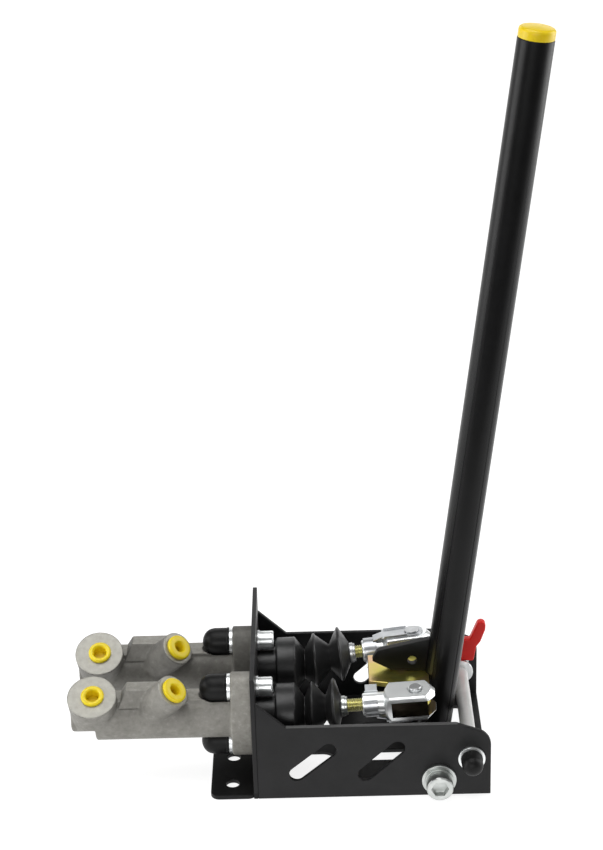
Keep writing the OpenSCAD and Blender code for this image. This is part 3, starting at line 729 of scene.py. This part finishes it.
sharpen(add_piece("rear_dome_cap", v, f, mm_frame((QX, -HW - 1.75, QZ), rot("Z", -90)), [CAPBLK], "bracket", "rear_nut_cap"), 35)


# ---- yellow plugs and the lever's cap
def plug_loop(fr, br, rr, h):
    lp = [(0, -7), (br, -7), (br, 0), (fr, 0), (fr, h - 0.7), (fr - 0.8, h), (rr + 0.9, h), (rr, h - 1.0), (rr, -5.6), (0, -5.6)]
    return soft(lp, {3: 0.3, 4: 0.5, 5: 0.5, 6: 0.3, 7: 0.4}, 2)


def plugs(name, node, fr, br, rr, h, pose):
    part = ring_solid(plug_loop(fr, br, rr, h), 64)
    v, f = join([moved(part, Matrix.Translation((0, s * CY, CZ)) @ rot("X", BOSS_TURN[s]) @ pose @ rot("Y", -90)) for s in (-1, 1)])
    return sharpen(add_piece(name, v, f, Matrix.Scale(MM, 4), [YELLOW], "bracket", node), 40)


plugs("front_plugs", "front_port_plugs", 7.7, 5.15, 4.4, 2.4, Matrix.Translation((BOSS1 + 0.6, 0, 24.72)))
plugs("angled_plugs", "angled_port_plugs", 8.7, 4.55, 3.5, 3.1, Matrix.Translation((BOSS2, 0, 0)) @ rot("Y", TILT2) @ Matrix.Translation((0, 0, 36.82)))
tl = [(0, -14), (TUBE_R - 2.4, -14), (TUBE_R - 2.25, -12.5), (TUBE_R - 2.25, 0), (TUBE_R - 0.15, 0), (TUBE_R - 0.15, 4.6)] + \
     [(TUBE_R - 2.65 + 2.5 * math.cos(a), 4.6 + 2.2 * math.sin(a)) for a in np.radians(np.arange(10, 76, 13))] + [(TUBE_R - 3.2, 6.95), (TUBE_R * 0.4, 7.5), (0, 7.6)]
v, f = ring_solid(soft(tl, {4: 0.4}, 2), 72)
sharpen(add_piece("tube_end_cap", v, f, lever_frame() @ Matrix.Translation((0, 0, TUBE_L)) @ rot("Y", -90), [YELLOW_CAP], "lever", "lever_top_cap"), 50)

# ---- bellows
def bent_rings(loop, s, share, n=96):
    """Solid of revolution whose rings follow a centre line between the bore and the push rod. loop holds (radius, x) with x from the plate."""
    yaw, pitch, _ = rod_angles(s)
    v, f = ring_solid([(r, 0.0) for r, x in loop], n)
    out = []
    k = 0
    for r, x in loop:
        w = share(x)
        ty, tz = s * math.tan(math.radians(yaw)) * w, math.tan(math.radians(pitch)) * w
        c = np.array([x, (x - BX) * ty, (x - BX) * tz])
        ex = np.array([1.0, ty, tz]) / math.sqrt(1 + ty * ty + tz * tz)
        ey = np.cross((0, 0, 1.0), ex)
        ey /= np.linalg.norm(ey)
        ez = np.cross(ex, ey)
        for j in range(n):
            a = 2 * math.pi * j / n
            out.append(c + r * (math.cos(a) * ey + math.sin(a) * ez))
        k += n
    v = np.array(out)
    return v, outward(v, f)


for s, nm, v1, p1, v2, p2, e, rv, rp in ((-1, "near", 35.4, 40.7, 49.6, 55.4, 60.0, 9.8, 19.0), (1, "far", 35.6, 42.7, 53.0, 60.2, 67.0, 10.2, 19.0)):
    rise = lambda x, a=v1, m=p1, b=p2: float(np.interp(x, (28, a, m, b), (0.0, 0.15, 0.58, 1.0)))
    sleeve = [(13.2, 3.1), (13.2, 15.4), (18.4, 15.4), (19.5, 16.4), (19.7, 27.4), (19.9, 28.0), (19.5, 28.8), (rv + 0.5, v1 - 0.2), (rv - 0.9, v1 - 0.2),
              (18.0, 27.8), (17.8, 17.2), (12.6, 16.6), (12.6, 3.1)]
    v, f = bent_rings(soft(sleeve, {2: 0.5, 3: 0.8, 5: 0.3, 6: 0.5}, 3), s, rise)
    o = add_piece(nm + "_boot_sleeve", v, f, cyl_frame(s), [RUBBER], "bracket", nm + "_boot")
    sharpen(o, 38)
    crest = lambda x: [(rp - 1.6, x - 1.45), (rp - 0.75, x - 1.05), (rp - 0.18, x - 0.55), (rp, x), (rp - 0.18, x + 0.55), (rp - 0.75, x + 1.05), (rp - 1.6, x + 1.45)]
    fold = [(rv + 0.1, v1 - 1.2), (rv, v1), (rv + 0.5, v1 + 0.4)] + crest(p1) + [(rv - 1.0, v2 - 0.35), (rv - 1.3, v2), (rv - 1.0, v2 + 0.35)] + crest(p2) + \
           [(9.3, e - 0.9), (8.2, e - 0.5), (8.2, e - 0.2), (7.9, e), (5.5, e), (5.5, e - 2.6), (6.6, e - 2.8), (rp - 2.2, p2 - 0.2), (rv - 2.9, v2), (rp - 2.2, p1), (rv - 1.1, v1 + 0.3), (rv - 0.9, v1 - 1.2)]
    v, f = bent_rings(fold, s, rise)
    o = add_piece(nm + "_boot_folds", v, f, cyl_frame(s), [RUBBER], "bracket", nm + "_boot")
    sharpen(o, 38)
    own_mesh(o)

# ---- return springs
def coil(r, wire, x0, x1, turns, per=40, n=12):
    m = int(turns * per)
    vs, fs = [], []
    for i in range(m + 1):
        u = i / m
        a = 2 * math.pi * turns * u
        c = np.array([x0 + (x1 - x0) * u, r * math.cos(a), r * math.sin(a)])
        t = np.array([(x1 - x0) / turns / (2 * math.pi), -r * math.sin(a), r * math.cos(a)])
        t /= np.linalg.norm(t)
        e1 = np.array([0, math.cos(a), math.sin(a)])
        e2 = np.cross(t, e1)
        vs += [c + wire * (math.cos(q) * e1 + math.sin(q) * e2) for q in np.arange(n) * 2 * math.pi / n]
    for i in range(m):
        for j in range(n):
            k = (j + 1) % n
            fs.append([i * n + j, i * n + k, (i + 1) * n + k, (i + 1) * n + j])
    fs += [list(range(n))[::-1], [m * n + j for j in range(n)]]
    v = np.array(vs)
    return v, outward(v, fs)


for s, nm in ((-1, "near"), (1, "far")):
    v, f = coil(7.2, 0.98, -96.4, -51.7, 8)
    o = sharpen(add_piece(nm + "_coil_spring", v, f, cyl_frame(s), [SPRING], "bracket", nm + "_return_spring"), 60)
    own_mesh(o)

# ---- push rods with their threads
PITCH_T, DEPTH_T = 1.3, 0.75


def rod_rad(x, a):
    if x < -4.999:
        return 0.05
    if x < 2.18:
        return math.sqrt(max(25 - x * x, 0.0025))
    if x < 50:
        return 4.5
    u = (x / PITCH_T - a / (2 * math.pi)) % 1.0
    tri = min(abs(u - 0.5) * 2 / 0.82, 1.0)
    return 4.5 - DEPTH_T * (1 - tri) * min((x - 50) / 1.5, 1.0)


xs = [-5 + 5 * (1 - math.cos(t)) for t in np.linspace(0.02, 1.9, 16)]
xs = [q for q in xs if q < 2.1] + [2.18, 20.0, 49.9]
for s, nm in ((-1, "near"), (1, "far")):
    v, f = threaded(xs + list(np.arange(50, rod_angles(s)[2] - 17.5, PITCH_T / 9)), rod_rad, 40)
    sharpen(add_piece(nm + "_threaded_rod", v, f, rod_frame(s), [GOLD_ROD], nm + "_rod_body", nm + "_pushrod"), 50)
for s, nm, x0, x1 in ((-1, "near", 60.4, 64.4), (1, "far", 67.4, 71.4)):
    lp = [(4.54, x0 - BX), (6.9, x0 - BX), (6.9, x1 - 1.4 - BX), (6.2, x1 - 1.4 - BX), (6.2, x1 - BX), (4.54, x1 - BX)]
    v, f = ring_solid(soft(lp, {1: 0.3, 2: 0.3, 4: 0.3}, 2), 64)
    sharpen(add_piece(nm + "_collar", v, f, rod_frame(s), [BOLT if s < 0 else STEEL], nm + "_rod_body", nm + "_rod_collar"), 40)

# ---------------------------------------------------------------- floor
fm, fnt, fp = node_mat("floor")
fco = obj_coords(fnt)
link(fnt, ramp(fnt, noise(fnt, fco, 6, 2), [(0.3, (0.36, 0.36, 0.36)), (0.7, (0.38, 0.38, 0.38))]), fp.inputs["Base Color"])
fp.inputs["Roughness"].default_value = 0.85
fp.inputs["Specular IOR Level"].default_value = 0.1
fp.inputs["Emission Color"].default_value = (1, 1, 1, 1)
fsep = fnt.nodes.new("ShaderNodeSeparateXYZ")
link(fnt, fco, fsep.inputs["Vector"])
link(fnt, spread(fnt, fsep.outputs["Y"], 0.82, 0.95, 0.4, 3.0), fp.inputs["Emission Strength"])
fmesh = bpy.data.meshes.new("floor")
fmesh.from_pydata([(-4, -0.45, 0), (4, -0.45, 0), (4, 8, 0), (-4, 8, 0)], [], [(0, 1, 2, 3)])
floor = bpy.data.objects.new("floor", fmesh)
floor.location.z = -0.0002
fmesh.materials.append(fm)
SC.collection.objects.link(floor)
